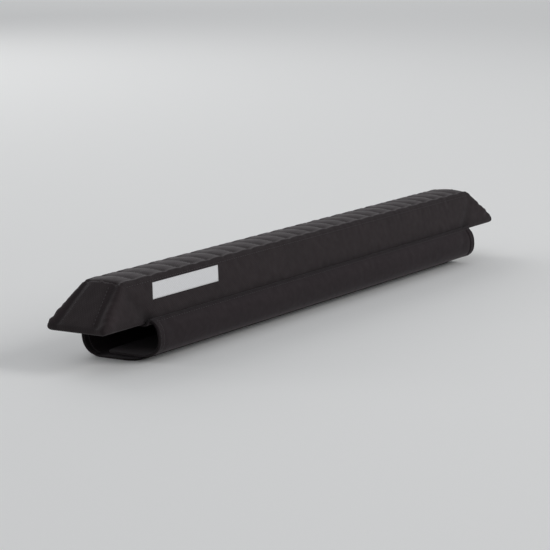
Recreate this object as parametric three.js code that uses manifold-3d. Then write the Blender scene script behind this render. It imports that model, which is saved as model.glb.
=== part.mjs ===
// Clip-on pad for a wing-shaped roof bar.
// A long firm foam block with sloping ends sits in a tight sewn cover with a ribbed, quilted top.
// Two cloth flaps are sewn along its lower edges. They wrap the bar and lap under it,
// where a loop strip and a hook strip hold them together.
// Millimetres, +Z up, +X along the bar, +Y towards the bar's leading edge.
// The origin is under the middle of the pad, at the height of its lowest face.

import * as THREE from 'three';
import { ConvexGeometry } from 'three/addons/geometries/ConvexGeometry.js';
import { mergeVertices } from 'three/addons/utils/BufferGeometryUtils.js';
import Module from 'manifold-3d';

const wasm = await Module();
wasm.setup();

// Pad body, over the cover
const PAD_LENGTH = 760;
const BASE_WIDTH = 61;
const TOP_WIDTH = 44;
const PAD_HEIGHT = 42;
const END_SLOPE_RUN = 46;
const LOWER_EDGE_RADIUS = 3.5;
const UPPER_EDGE_RADIUS = 6;
const TOP_CROWN = 1.6;

// Quilted ribs across the top
const RIB_PITCH = 24;
const RIB_DEPTH = 1.8;
const QUILT_THICKNESS = 4;

// Cloth, tapes and the clearance between sewn layers
const COVER_CLOTH = 1.2;
const COVER_LIP = 10;
const FLAP_CLOTH = 1.5;
const LOOP_THICKNESS = 1.4;
const HOOK_THICKNESS = 1.2;
const STRIP_WIDTH = 25;
const LAYER_GAP = 0.3;

// The bar that the flaps wrap
const BAR_WIDTH = 80;
const BAR_THICKNESS = 28;
const BAR_CLEARANCE = 0.4;

// Flaps: where they start under the pad, where they stop short of its tips, and how far they lap
const SKIRT_SETBACK = 69;
const SEAM_MARGIN = 8;
const SEAM_INSET = 2.5;
const NOTCH_RADIUS = 5;
const FREE_CORNER_RADIUS = 12;
const FRONT_FLAP_REACH = 18;
const REAR_FLAP_REACH = 16;
const HEM_WIDTH = 8;
const HEM_EXTRA = 0.7;
const HEM_STEP = 0.8;
const STRIP_END_MARGIN = 5;
const TUCK_RISE = 2.6;
const TUCK_SPARE = 0.1;
const FOLD_WIDTH = 2.35;
const FOLD_DROP = 0.3;
const FOLD_PULL = 1.4;
const SHOULDER_PULL = 6;
const SHOULDER_DIRECTION = [0.6, -0.8];
const FLAP_FULLNESS = 0.7;
const NOSE_ROUNDNESS = 0.62;

// How finely the curved forms are faceted
const BALL_SEGMENTS = 20;
const CROWN_STEPS = 6;
const RIB_SEGMENTS = 6;
const FLAP_STEPS = [3, 6, 8, 12, 12, 14];
const CORNER_SEGMENTS = 6;

// Room that cutting tools run past what they cut
const CUT_ROOM = 5;

// Heights of the layers, from the lowest face up
const REAR_LAP_TOP = FLAP_CLOTH;
const HOOK_BOTTOM = REAR_LAP_TOP + LAYER_GAP;
const LOOP_BOTTOM = HOOK_BOTTOM + HOOK_THICKNESS + LAYER_GAP;
const FRONT_LAP_BOTTOM = LOOP_BOTTOM + LOOP_THICKNESS + LAYER_GAP;
const BAR_MIDDLE = FRONT_LAP_BOTTOM + FLAP_CLOTH + BAR_CLEARANCE + BAR_THICKNESS / 2;
const PAD_BASE = BAR_MIDDLE + BAR_THICKNESS / 2 + BAR_CLEARANCE;

// Half lengths and half widths that several pieces share
const TIP = PAD_LENGTH / 2;
const SKIRT_HALF = TIP - SKIRT_SETBACK;
const STRIP_HALF = SKIRT_HALF - HEM_WIDTH - STRIP_END_MARGIN;
const NOSE = BAR_WIDTH / 2 + BAR_CLEARANCE + FLAP_CLOTH / 2;

const cloth = (color, roughness) => new THREE.MeshStandardMaterial({ color, roughness, metalness: 0 });

const materials = {
  foam_core: cloth(0x8f8d88, 0.95),
  cover: cloth(0x2e2a2c, 0.85),
  base_panel: cloth(0x262325, 0.9),
  front_flap: cloth(0x292627, 0.85),
  rear_flap: cloth(0x292627, 0.85),
  loop_strip: cloth(0x1c1b1c, 0.98),
  hook_strip: cloth(0x202021, 0.7),
};

// Booleans work on closed meshes whose shared corners are merged
function toSolid(geometry) {
  const plain = geometry.clone();
  for (const name of Object.keys(plain.attributes)) {
    if (name !== 'position') plain.deleteAttribute(name);
  }
  const merged = mergeVertices(plain, 1e-4);
  return new wasm.Manifold(new wasm.Mesh({
    numProp: 3,
    vertProperties: new Float32Array(merged.attributes.position.array),
    triVerts: new Uint32Array(merged.index.array),
  }));
}

function toGeometry(solid) {
  const mesh = solid.getMesh();
  const geometry = new THREE.BufferGeometry();
  geometry.setAttribute('position', new THREE.BufferAttribute(mesh.vertProperties, mesh.numProp));
  geometry.setIndex(new THREE.BufferAttribute(mesh.triVerts, 1));
  geometry.computeVertexNormals();
  return geometry;
}

// The points of one ball, for the rounded corner of a hull
function addBall(points, x, y, z, radius) {
  const ball = new THREE.SphereGeometry(radius, BALL_SEGMENTS, BALL_SEGMENTS / 2);
  ball.rotateX(Math.PI / 2);
  const position = ball.attributes.position;
  for (let i = 0; i < position.count; i += 1) {
    points.push(new THREE.Vector3().fromBufferAttribute(position, i).add(new THREE.Vector3(x, y, z)));
  }
}

// The pad's body is the hull of a ball at each corner, with more balls across the crowned top.
// A smaller ball at the same place moves every face inwards by the inset.
function padHull(inset, topDrop) {
  const points = [];
  const lowerX = TIP - LOWER_EDGE_RADIUS;
  const lowerY = BASE_WIDTH / 2 - LOWER_EDGE_RADIUS;
  const upperX = TIP - END_SLOPE_RUN;
  const upperY = TOP_WIDTH / 2 - UPPER_EDGE_RADIUS;
  const upperZ = PAD_BASE + PAD_HEIGHT - UPPER_EDGE_RADIUS - topDrop;
  for (const end of [-1, 1]) {
    for (const side of [-1, 1]) {
      addBall(points, end * lowerX, side * lowerY, PAD_BASE + LOWER_EDGE_RADIUS, LOWER_EDGE_RADIUS - inset);
    }
    for (let step = 0; step <= CROWN_STEPS; step += 1) {
      const across = (2 * step) / CROWN_STEPS - 1;
      const z = upperZ - TOP_CROWN * across * across;
      addBall(points, end * upperX, across * upperY, z, UPPER_EDGE_RADIUS - inset);
    }
  }
  return new ConvexGeometry(points);
}

// A flat outline with round corners, in the X-Y plane
function roundedOutline(halfX, halfY, radius) {
  const shape = new THREE.Shape();
  shape.moveTo(halfX - radius, -halfY);
  shape.absarc(halfX - radius, radius - halfY, radius, -Math.PI / 2, 0);
  shape.absarc(halfX - radius, halfY - radius, radius, 0, Math.PI / 2);
  shape.absarc(radius - halfX, halfY - radius, radius, Math.PI / 2, Math.PI);
  shape.absarc(radius - halfX, radius - halfY, radius, Math.PI, 1.5 * Math.PI);
  shape.closePath();
  return shape;
}

function plate(shape, bottom, thickness) {
  const geometry = new THREE.ExtrudeGeometry(shape, {
    depth: thickness, bevelEnabled: false, curveSegments: CORNER_SEGMENTS,
  });
  geometry.translate(0, 0, bottom);
  return geometry;
}

// The space under the ribbed top: a row of arches along X, as wide as the pad.
// The crowned top falls below the valleys at its edges, so the ribs fade out there.
function ribbedEnvelope() {
  const crest = PAD_BASE + PAD_HEIGHT;
  const valley = crest - RIB_DEPTH;
  const flat = UPPER_EDGE_RADIUS - RIB_DEPTH;
  const ribbedHalf = TIP - END_SLOPE_RUN + Math.sqrt(UPPER_EDGE_RADIUS ** 2 - flat ** 2);
  const ribs = Math.round((2 * ribbedHalf) / RIB_PITCH);
  const pitch = (2 * ribbedHalf) / ribs;
  const shape = new THREE.Shape();
  shape.moveTo(-TIP - CUT_ROOM, PAD_BASE - CUT_ROOM);
  shape.lineTo(TIP + CUT_ROOM, PAD_BASE - CUT_ROOM);
  shape.lineTo(TIP + CUT_ROOM, valley);
  shape.lineTo(ribbedHalf, valley);
  for (let rib = 0; rib < ribs; rib += 1) {
    const start = ribbedHalf - rib * pitch;
    shape.quadraticCurveTo(start - pitch / 2, valley + 2 * RIB_DEPTH, start - pitch, valley);
  }
  shape.lineTo(-TIP - CUT_ROOM, valley);
  shape.closePath();
  const geometry = new THREE.ExtrudeGeometry(shape, {
    depth: BASE_WIDTH + 2 * CUT_ROOM, bevelEnabled: false, curveSegments: RIB_SEGMENTS,
  });
  geometry.rotateX(Math.PI / 2);
  geometry.translate(0, BASE_WIDTH / 2 + CUT_ROOM, 0);
  return geometry;
}

// The foam block fills the cover up to the layer gap
function foamCore() {
  return padHull(COVER_CLOTH + LAYER_GAP, QUILT_THICKNESS - COVER_CLOTH);
}

// Half sizes of the opening that the cover's turned-in lip leaves underneath
const OPENING_X = TIP - COVER_LIP - LOWER_EDGE_RADIUS;
const OPENING_Y = BASE_WIDTH / 2 - COVER_LIP;

// The cover is a shell: ribbed and quilted on top, one cloth thick at the sides and ends,
// with its lower edge turned in under the foam
function cover() {
  const outside = toSolid(padHull(0, 0)).intersect(toSolid(ribbedEnvelope()));
  const inside = toSolid(padHull(COVER_CLOTH, QUILT_THICKNESS - COVER_CLOTH));
  const opening = plate(
    roundedOutline(OPENING_X, OPENING_Y, LOWER_EDGE_RADIUS),
    PAD_BASE - CUT_ROOM,
    CUT_ROOM + 2 * COVER_CLOTH,
  );
  return toGeometry(outside.subtract(inside).subtract(toSolid(opening)));
}

// The base panel closes the cover's opening and lies on the bar
function basePanel() {
  const shape = roundedOutline(OPENING_X - LAYER_GAP, OPENING_Y - LAYER_GAP, LOWER_EDGE_RADIUS - LAYER_GAP);
  return plate(shape, PAD_BASE, COVER_CLOTH);
}

// A flap's middle line in the Y-Z plane: flat under the pad's edge, up beside that edge to a tight fold
// where the seam is, then over a sloping shoulder, round the bar, and flat underneath.
// Side is 1 at the leading edge and -1 at the trailing edge.
function flapPath(side, lapMiddle, reach) {
  const seamOuter = BASE_WIDTH / 2 - SEAM_INSET;
  const seamZ = PAD_BASE - LAYER_GAP - FLAP_CLOTH / 2;
  const tuckY = BASE_WIDTH / 2 + LAYER_GAP + FLAP_CLOTH / 2 + TUCK_SPARE;
  const tuckZ = PAD_BASE + TUCK_RISE;
  const shoulderY = tuckY + FOLD_WIDTH;
  const shoulderZ = tuckZ + FOLD_DROP;
  const [outwards, upwards] = SHOULDER_DIRECTION;
  const lapStart = BAR_WIDTH / 4;
  const upperRise = (shoulderZ - BAR_MIDDLE) * NOSE_ROUNDNESS;
  const lowerDrop = (BAR_MIDDLE - lapMiddle) * NOSE_ROUNDNESS;
  const under = (NOSE - lapStart) * FLAP_FULLNESS;
  const path = new THREE.Path();
  path.moveTo(side * (seamOuter - SEAM_MARGIN), seamZ);
  path.lineTo(side * seamOuter, seamZ);
  path.bezierCurveTo(
    side * (seamOuter + SEAM_INSET), seamZ,
    side * tuckY, tuckZ - SEAM_INSET,
    side * tuckY, tuckZ,
  );
  path.bezierCurveTo(
    side * tuckY, tuckZ + FOLD_PULL,
    side * (shoulderY - outwards * FOLD_PULL), shoulderZ - upwards * FOLD_PULL,
    side * shoulderY, shoulderZ,
  );
  path.bezierCurveTo(
    side * (shoulderY + outwards * SHOULDER_PULL), shoulderZ + upwards * SHOULDER_PULL,
    side * NOSE, BAR_MIDDLE + upperRise,
    side * NOSE, BAR_MIDDLE,
  );
  path.bezierCurveTo(
    side * NOSE, BAR_MIDDLE - lowerDrop,
    side * (lapStart + under), lapMiddle,
    side * lapStart, lapMiddle,
  );
  path.lineTo(-side * reach, lapMiddle);
  return path;
}

// Half the flap's length at a distance along its path: it flares into the fold at the notch,
// and its free corners are round
function flapHalfLength(fromFold, toEdge) {
  if (fromFold < NOTCH_RADIUS) {
    const rise = NOTCH_RADIUS - Math.max(fromFold, 0);
    return SKIRT_HALF + NOTCH_RADIUS - Math.sqrt(NOTCH_RADIUS ** 2 - rise ** 2);
  }
  if (toEdge < FREE_CORNER_RADIUS) {
    const rise = FREE_CORNER_RADIUS - Math.max(toEdge, 0);
    return SKIRT_HALF - FREE_CORNER_RADIUS + Math.sqrt(FREE_CORNER_RADIUS ** 2 - rise ** 2);
  }
  return SKIRT_HALF;
}

// A flap is a sheet swept along its path. A hem makes both ends thicker on the outside.
// It fades in below the fold and out again before the lap, where the layers lie flat.
function flap(side, lapMiddle, reach) {
  const curves = flapPath(side, lapMiddle, reach).curves;
  const line = [curves[0].getPoint(0)];
  curves.forEach((curve, i) => line.push(...curve.getSpacedPoints(FLAP_STEPS[i]).slice(1)));
  const lengths = curves.map((curve) => curve.getLength());
  const total = lengths.reduce((sum, length) => sum + length, 0);
  const foldCrest = lengths[0] + lengths[1] + lengths[2] / 2;
  const lapBegins = total - lengths.at(-1);
  const stations = [];
  let along = 0;
  line.forEach((point, i) => {
    const before = line[Math.max(i - 1, 0)];
    const after = line[Math.min(i + 1, line.length - 1)];
    const tangent = new THREE.Vector2().subVectors(after, before).normalize();
    const outward = new THREE.Vector2(-tangent.y, tangent.x).multiplyScalar(side);
    along += i ? point.distanceTo(before) : 0;
    const half = flapHalfLength(along - foldCrest, total - along);
    const fadeIn = THREE.MathUtils.smoothstep(along, foldCrest, foldCrest + NOTCH_RADIUS);
    const fadeOut = THREE.MathUtils.smoothstep(along, lapBegins - NOTCH_RADIUS, lapBegins);
    const hem = HEM_EXTRA * fadeIn * (1 - fadeOut);
    stations.push([
      [-half, hem], [HEM_WIDTH - half, hem], [HEM_WIDTH + HEM_STEP - half, 0],
      [half - HEM_WIDTH - HEM_STEP, 0], [half - HEM_WIDTH, hem], [half, hem],
    ].map(([x, extra]) => {
      const outer = outward.clone().multiplyScalar(FLAP_CLOTH / 2 + extra).add(point);
      const inner = outward.clone().multiplyScalar(-FLAP_CLOTH / 2).add(point);
      return [[x, outer.x, outer.y], [x, inner.x, inner.y]];
    }));
  });
  return sheetSolid(stations, side);
}

// Joins a grid of outer and inner points into one closed sheet
function sheetSolid(stations, side) {
  const rows = stations.length;
  const columns = stations[0].length;
  const positions = stations.flat(2).flat();
  const corner = (row, column, layer) => 2 * (row * columns + column) + layer;
  const faces = [];
  const quad = (a, b, c, d) => {
    if (side > 0) faces.push(a, b, c, a, c, d);
    else faces.push(a, c, b, a, d, c);
  };
  for (let r = 0; r < rows - 1; r += 1) {
    for (let c = 0; c < columns - 1; c += 1) {
      quad(corner(r, c, 0), corner(r, c + 1, 0), corner(r + 1, c + 1, 0), corner(r + 1, c, 0));
      quad(corner(r, c, 1), corner(r + 1, c, 1), corner(r + 1, c + 1, 1), corner(r, c + 1, 1));
    }
    const last = columns - 1;
    quad(corner(r, 0, 0), corner(r + 1, 0, 0), corner(r + 1, 0, 1), corner(r, 0, 1));
    quad(corner(r, last, 0), corner(r, last, 1), corner(r + 1, last, 1), corner(r + 1, last, 0));
  }
  for (let c = 0; c < columns - 1; c += 1) {
    const last = rows - 1;
    quad(corner(0, c, 0), corner(0, c, 1), corner(0, c + 1, 1), corner(0, c + 1, 0));
    quad(corner(last, c, 0), corner(last, c + 1, 0), corner(last, c + 1, 1), corner(last, c, 1));
  }
  const geometry = new THREE.BufferGeometry();
  geometry.setAttribute('position', new THREE.Float32BufferAttribute(positions, 3));
  geometry.setIndex(faces);
  geometry.computeVertexNormals();
  return geometry;
}

const frontFlap = () => flap(1, FRONT_LAP_BOTTOM + FLAP_CLOTH / 2, FRONT_FLAP_REACH);
const rearFlap = () => flap(-1, FLAP_CLOTH / 2, REAR_FLAP_REACH);

// The two strips of the closure, in the middle of the lap
function strip(bottom, thickness) {
  const middle = (REAR_FLAP_REACH - FRONT_FLAP_REACH) / 2;
  const geometry = plate(roundedOutline(STRIP_HALF, STRIP_WIDTH / 2, thickness), bottom, thickness);
  geometry.translate(0, middle, 0);
  return geometry;
}

const pieces = {
  foam_core: foamCore(),
  cover: cover(),
  base_panel: basePanel(),
  front_flap: frontFlap(),
  rear_flap: rearFlap(),
  loop_strip: strip(LOOP_BOTTOM, LOOP_THICKNESS),
  hook_strip: strip(HOOK_BOTTOM, HOOK_THICKNESS),
};

const pad = new THREE.Group();
pad.name = 'roof_rack_pad';
for (const [name, geometry] of Object.entries(pieces)) {
  const mesh = new THREE.Mesh(geometry, materials[name]);
  mesh.name = name;
  pad.add(mesh);
}

export default pad;
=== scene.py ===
from bisect import bisect_left
from math import ceil, copysign, cos, exp, floor, hypot, pi, radians, sin, sqrt

import bmesh
import bpy
from bpy.props import FloatProperty, FloatVectorProperty, PointerProperty
from bpy.types import Operator, Panel, PropertyGroup
from mathutils import Matrix, Vector, noise
from mathutils.bvhtree import BVHTree
from mathutils.geometry import interpolate_bezier


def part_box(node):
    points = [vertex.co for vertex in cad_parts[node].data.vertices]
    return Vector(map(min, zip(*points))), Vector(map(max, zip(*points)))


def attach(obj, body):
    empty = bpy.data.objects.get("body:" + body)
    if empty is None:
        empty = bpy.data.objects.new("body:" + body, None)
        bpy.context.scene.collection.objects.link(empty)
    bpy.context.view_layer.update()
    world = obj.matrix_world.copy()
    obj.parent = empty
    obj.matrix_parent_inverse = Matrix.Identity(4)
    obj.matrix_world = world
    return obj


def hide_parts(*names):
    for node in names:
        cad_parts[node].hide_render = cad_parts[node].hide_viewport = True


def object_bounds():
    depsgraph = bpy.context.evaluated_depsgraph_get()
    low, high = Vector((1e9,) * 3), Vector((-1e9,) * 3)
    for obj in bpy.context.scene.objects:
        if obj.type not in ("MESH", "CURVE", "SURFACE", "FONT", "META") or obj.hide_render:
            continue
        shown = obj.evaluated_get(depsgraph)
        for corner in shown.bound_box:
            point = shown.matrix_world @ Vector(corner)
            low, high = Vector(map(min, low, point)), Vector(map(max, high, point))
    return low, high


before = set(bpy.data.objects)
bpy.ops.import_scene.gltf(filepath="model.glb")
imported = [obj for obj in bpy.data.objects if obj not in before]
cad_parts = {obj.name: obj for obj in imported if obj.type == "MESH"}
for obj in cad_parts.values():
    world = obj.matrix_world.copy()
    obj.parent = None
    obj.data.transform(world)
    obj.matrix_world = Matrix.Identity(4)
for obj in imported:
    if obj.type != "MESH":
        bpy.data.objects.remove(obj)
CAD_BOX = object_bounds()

bl_info = {
    "name": "Roof Bar Pad",
    "version": (1, 0, 0),
    "blender": (4, 5, 0),
    "location": "3D View > Sidebar > Pad",
    "description": "Makes a quilted foam pad with flaps that wrap a wing-shaped roof bar",
    "category": "Add Mesh",
}

MM = 0.001
ROOT = "root"

# The frame's boxes give every place that the cloth is fitted to
COVER_LOW, COVER_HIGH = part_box("cover")
PANEL_LOW, PANEL_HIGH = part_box("base_panel")
FRONT_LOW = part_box("front_flap")[0]
REAR_LOW, REAR_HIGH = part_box("rear_flap")
TIP = COVER_HIGH.x
SIDE = COVER_HIGH.y
BASE_Z = COVER_LOW.z
CREST_Z = COVER_HIGH.z

# The bar that the flaps wrap, and where their flat lap starts
BAR_WIDTH = 80 * MM
BAR_THICKNESS = 28 * MM
BAR_CLEARANCE = 0.4 * MM
LAP_START = BAR_WIDTH / 4

# Cloth and thread
FLAP_THICK = 1.5 * MM
LAYER_GAP = 0.3 * MM
STITCH_LENGTH = 2.8 * MM
STITCH_STEP = 4.0 * MM
THREAD_RADIUS = 0.36 * MM
THREAD_HEIGHT = 0.8 * THREAD_RADIUS
THREAD_LIFT = 0.1 * THREAD_RADIUS

# Shared by the mesh work: which way is down, and the finest distances that it tells apart
DOWN = Vector((0, 0, -1))
CUT_SNAP = 1e-7
TINY = 1e-9

# Colours, as they are seen in even light
COVER_BLACK = "#221a1c"
FLAP_BLACK = "#1f171a"
PANEL_BLACK = "#222021"
LOOP_BLACK = "#1b1a1b"
HOOK_BLACK = "#232325"
THREAD_BLACK = "#2b2729"
FOAM_GREY = "#8f8d88"
PRINT_WHITE = "#dededf"
FLOOR_WHITE = "#f0f0ef"

# Yarn spacings, as they are drawn: about twice the real 0.6 mm, so that they show
COVER_YARN = 1.3 * MM
FLAP_YARN = 1.1 * MM
LINING_YARN = 1.0 * MM

# The cover's form. Shares are of the upper or the lower edge's radius
BALL_SEGMENTS = 28
CROWN_STEPS = 6
FLAT_ANGLE = radians(1)
SLIVER_SHARE = 0.2
END_CHANNEL = 3.5 * MM
CHANNEL_FADE = 5 * MM
CHANNEL_SHARPNESS = 2.5
CHANNEL_MARGIN = 1 * MM
PANEL_MARGIN = 1 * MM
RIDGE_SHARE = 0.3
HELD_CHANNEL = 0.6 * MM
HELD_TOP_SHARE = 2
HELD_EDGE_SHARE = 1.2
HELD_BASE_SHARE = 1.4

# The share of a face's outward direction along X or Z that makes it count as end, top, underside or base
END_FACING = 0.4
TOP_FACING = 0.7
UNDER_FACING = 0.6
BASE_FACING = 0.9

# How the cover fills: how far the crests are lowered first, how far a point may move, and for how long
FILL_SPARE = 0.9 * MM
FILL_LIMIT = 1.3 * MM
FILL_FRAMES = 20
FILL_CLOTH = {"quality": 4, "mass": 0.3, "tension_stiffness": 25, "compression_stiffness": 25,
              "shear_stiffness": 8, "bending_stiffness": 0.6, "use_pressure": True,
              "uniform_pressure_force": 4}

# Where the cover's folds lie. Tapers and places on a hip are shares of the way up it
ROLL_TAPER = 0.65
SEAM_TAPER = 0.3
PULL_TAPER = 0.5
HIP_START = 0.1
HIP_END = 1.0
CRINKLES = 9.0
CRINKLE_SLANT = 11 * MM
CRINKLE_WIDTH = 9 * MM
FOLDED_END = 100 * MM
NOTCH_FROM_TIP = 68 * MM
NOTCH_ABOVE_BASE = 3 * MM
PULL_FROM_TIP = 46 * MM
PULL_BELOW_CREST = 12 * MM
PULL_PAST_TOP = 3 * MM
GATHERED_BAND = 16 * MM
GATHER_PAST_TOP = 4 * MM
GATHER_REACH = 6 * MM
GATHER_SIZE = (7 * MM, 30 * MM)
SAG_SIZE = (60 * MM, 40 * MM, 22 * MM)
PUCKER_SIZE = (9 * MM, 25 * MM)
PUCKER_ABOVE_BASE = 3 * MM
PUCKER_REACH = 9 * MM

# The slice of the noise that each kind of fold takes, so that no two are alike
ROLL_SLICE = 2.0
GATHER_SLICE = 1.0
PUCKER_SLICE = 5
FLAP_SAG_SLICE = 7.0
FLAP_PUCKER_SLICE = 3.0

# Painted shade on the cover's cloth: darker where it turns under, and in the hollow above the flap
LOW_SHADE = 0.8
TURN_REACH = 3 * MM
HOLLOW_SHARE = 0.6
HOLLOW_ABOVE_BASE = 6 * MM
HOLLOW_REACH = 2.5 * MM

# Rows of thread on the cover, and how they are dropped on to it
DROP_START = 30 * MM
CHANNEL_ROW_INSET = 2 * MM
CHANNEL_ROW_STEP = 2 * MM
LONG_ROW_STEP = 3 * MM
RIDGE_ROW_OUT = 1 * MM
RIDGE_ROW_DROP = 7 * MM
RIDGE_ROW_TILT = 0.4
HIP_ROW_FOOT = 9.5 * MM
HIP_ROW_HEAD = 6.5 * MM
HIP_ROW_TOP = 0.97
HIP_ROW_STEP = 0.04
END_SLOPE = (0.68, 0.73)

# The plain printed bar
PRINT_HALF_LENGTH = 54 * MM
PRINT_HALF_HEIGHT = 7.5 * MM
PRINT_FROM_TIP = 138 * MM
PRINT_ABOVE_MIDDLE = 7 * MM
PRINT_SLANT = 0.35
PRINT_TILT = 0.25
PRINT_CELL = 1.5 * MM
PRINT_LIFT = 0.16 * MM
PRINT_THICK = 0.1 * MM

# The flaps' line and cloth
LINE_STEP = 0.4 * MM
CURVE_POINTS = 60
TUCK_GAP = 0.1 * MM
SHOULDER_SLOPE = Vector((0.6, -0.8, 0))
PATCH_X_STEP = 3 * MM
PATCH_STEP = 1.6 * MM
SEAM_STEP = 2 * MM
FOLD_STEP = 0.5 * MM
FOLD_BEFORE = 8 * MM
FOLD_AFTER = 5 * MM
HEM_CUTS = [cut * MM for cut in (0.0, 0.5, 1.2, 3.0, 5.0, 7.0, 7.6, 8.0, 8.4, 9.0, 10.0)]
HEM_LAYER_CUTS = [cut * MM for cut in (0.3, 1.0, 3.0, 5.0, 7.4)]
HEM_LAYER_SHARE = 0.85
HEM_LAYER_SHORT = 6 * MM

# Where the flaps' cloth is loose, and its folds
LOOSE_AFTER_FOLD = 8 * MM
FLAT_BEFORE_LAP = (26 * MM, 10 * MM)
HEM_EDGE = 0.6 * MM
FLAP_SAG_SIZE = (85 * MM, 30 * MM)
FLAP_PUCKER_SIZE = (9 * MM, 26 * MM)
FLAP_PUCKER_BELOW = 3 * MM
FLAP_PUCKER_REACH = 9 * MM
FLAP_PULL_FROM_END = 14 * MM
FLAP_PULL_SLANT = 0.6
FLAP_PULL_WIDTH = 7 * MM
FLAP_PULL_BELOW = 9 * MM
FLAP_PULL_REACH = 14 * MM
SEWN_PAST_HEM = 1 * MM
SEWN_WIDTH = 1.6 * MM

# Painted light on the flaps' cloth: a painted highlight on the shoulder below the fold, painted shade in the
# crease and at the ends, and how far a bulge or pull goes for its full tone
SHOULDER_HIGHLIGHT = 0.3
SHOULDER_BELOW = 9 * MM
SHOULDER_REACH = 5 * MM
FOLD_SHADE = 0.9
FOLD_SHADE_REACH = 2.5 * MM
END_SHADE = 0.7
END_SHADE_PLACE = 1 * MM
END_SHADE_REACH = 3 * MM
RUB_AND_SHADE_PUSH = 4 * MM

# Rows of thread on the flaps and the base panel
HEM_ROWS = (1.8 * MM, 6.6 * MM)
HEM_ROW_STEP = 1.2 * MM
HEM_ROW_AFTER_FOLD = 6 * MM
HEM_ROW_BEFORE_LAP = 12 * MM
FOLD_ROW_AFTER = 3.4 * MM
PANEL_ROW_INSETS = (3 * MM, 2.5 * MM)
PANEL_ROW_LIFT = 0.1 * MM
PANEL_ROW_STEPS = (3 * MM, 2 * MM)

# The studio: each softbox has its place, its size in metres and its watts
TARGET = Vector((0.0, 0.0, 0.035))
LAMPS = (
    ("key_softbox", (-0.9, 3.4, 2.0), 2.0, 60),
    ("top_softbox", (-1.5, -2.8, 1.8), 2.2, 22),
    ("rear_softbox", (1.6, -3.4, 0.8), 1.5, 24),
    ("back_softbox", (-6.4, -4.2, 2.6), 4.4, 56),
)
WORLD_STRENGTH = 0.42
WORLD_COLOUR = (0.95, 0.97, 1.0, 1.0)
FLOOR_REACH = 14.0
FLOOR_GAP = 0.1 * MM

# The photograph's camera, seen from the pad: its bearing from +X, its height angle and its distance
CAMERA_BEARING = radians(31)
CAMERA_RISE = radians(10)
CAMERA_DISTANCE = 2.3
CAMERA_WIDTH = 0.54
CAMERA_TARGET = Vector((0.045, 0.0, 0.036))
CAMERA_FAR = 100.0
SENSOR_WIDTH = 36.0


def linear(code):
    """The linear colour of an sRGB hex code."""
    values = [int(code[i:i + 2], 16) / 255 for i in (1, 3, 5)]
    return tuple(v / 12.92 if v <= 0.04045 else ((v + 0.055) / 1.055) ** 2.4 for v in values)


def length(name, description, default):
    """A property that holds a length in metres."""
    return FloatProperty(name=name, description=description, default=default,
                         subtype="DISTANCE", unit="LENGTH")


def colour(name, description, code):
    """A property that holds a linear colour."""
    return FloatVectorProperty(name=name, description=description, default=linear(code), size=3,
                               subtype="COLOR", min=0.0, max=1.0)


class PadSizes(PropertyGroup):
    """Sizes of the padded cover."""
    top_width: length("Top width", "Width over the rounded upper edges", 44 * MM)
    end_run: length("End slope", "From the tip to where the level top starts", 46 * MM)
    lower_radius: length("Lower edge radius", "Radius of the lower edges and the tips", 3.5 * MM)
    upper_radius: length("Upper edge radius", "Radius of the upper edges and the hips", 6 * MM)
    crown: length("Crown", "Rise of the top from its edges to its middle", 1.6 * MM)
    rib_pitch: length("Rib pitch", "Spacing of the sewn channels across the top", 24 * MM)
    rib_depth: length("Rib depth", "Depth of the sewn channels", 2.3 * MM)
    mesh_step: length("Mesh step", "Size of the cells that the cover is divided into", 2 * MM)
    cover_depth: length("Cover depth", "From the cover's outside to the foam block inside it", 3.2 * MM)


class FoldSizes(PropertyGroup):
    """Heights and widths of the seams, rolls and puckers in the cover's cloth."""
    seam_depth: length("Hip seam depth", "Depth of the seams beside the hips", 1.5 * MM)
    seam_width: length("Hip seam width", "Width of the seams beside the hips", 2.4 * MM)
    seam_foot: length("Hip seam foot", "From a hip to its seam at the base", 7 * MM)
    seam_head: length("Hip seam head", "From a hip to its seam at the top", 5 * MM)
    roll_height: length("Roll height", "Height of the loose roll down a hip", 1.5 * MM)
    roll_width: length("Roll width", "Width of the loose roll down a hip", 6.5 * MM)
    roll_place: length("Roll place", "From a hip to the crest of its roll", 2 * MM)
    roll_crinkle: length("Crinkle height", "How much the height of the roll varies", 1.5 * MM)
    pull_depth: length("Tension fold depth", "Depth of the fold that rises from a notch", 1.5 * MM)
    pull_width: length("Tension fold width", "Width of the fold that rises from a notch", 7 * MM)
    pocket_depth: length("Pocket depth", "Depth of the hollow at a notch", 1.2 * MM)
    deepest: length("Deepest fold", "How far a fold may sink towards the foam", 2.6 * MM)
    ridge_depth: length("Upper seam depth", "Depth of the seam along the upper edge", 0.6 * MM)
    ridge_width: length("Upper seam width", "Width of the seam along the upper edge", 1.4 * MM)
    gather_height: length("Gather height", "Height of the gathers at the upper edge", 0.32 * MM)
    sag_height: length("Sag height", "Height of the slow waves in the sides", 0.35 * MM)
    pucker_height: length("Pucker height", "Height of the puckers above the base", 0.25 * MM)


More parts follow.
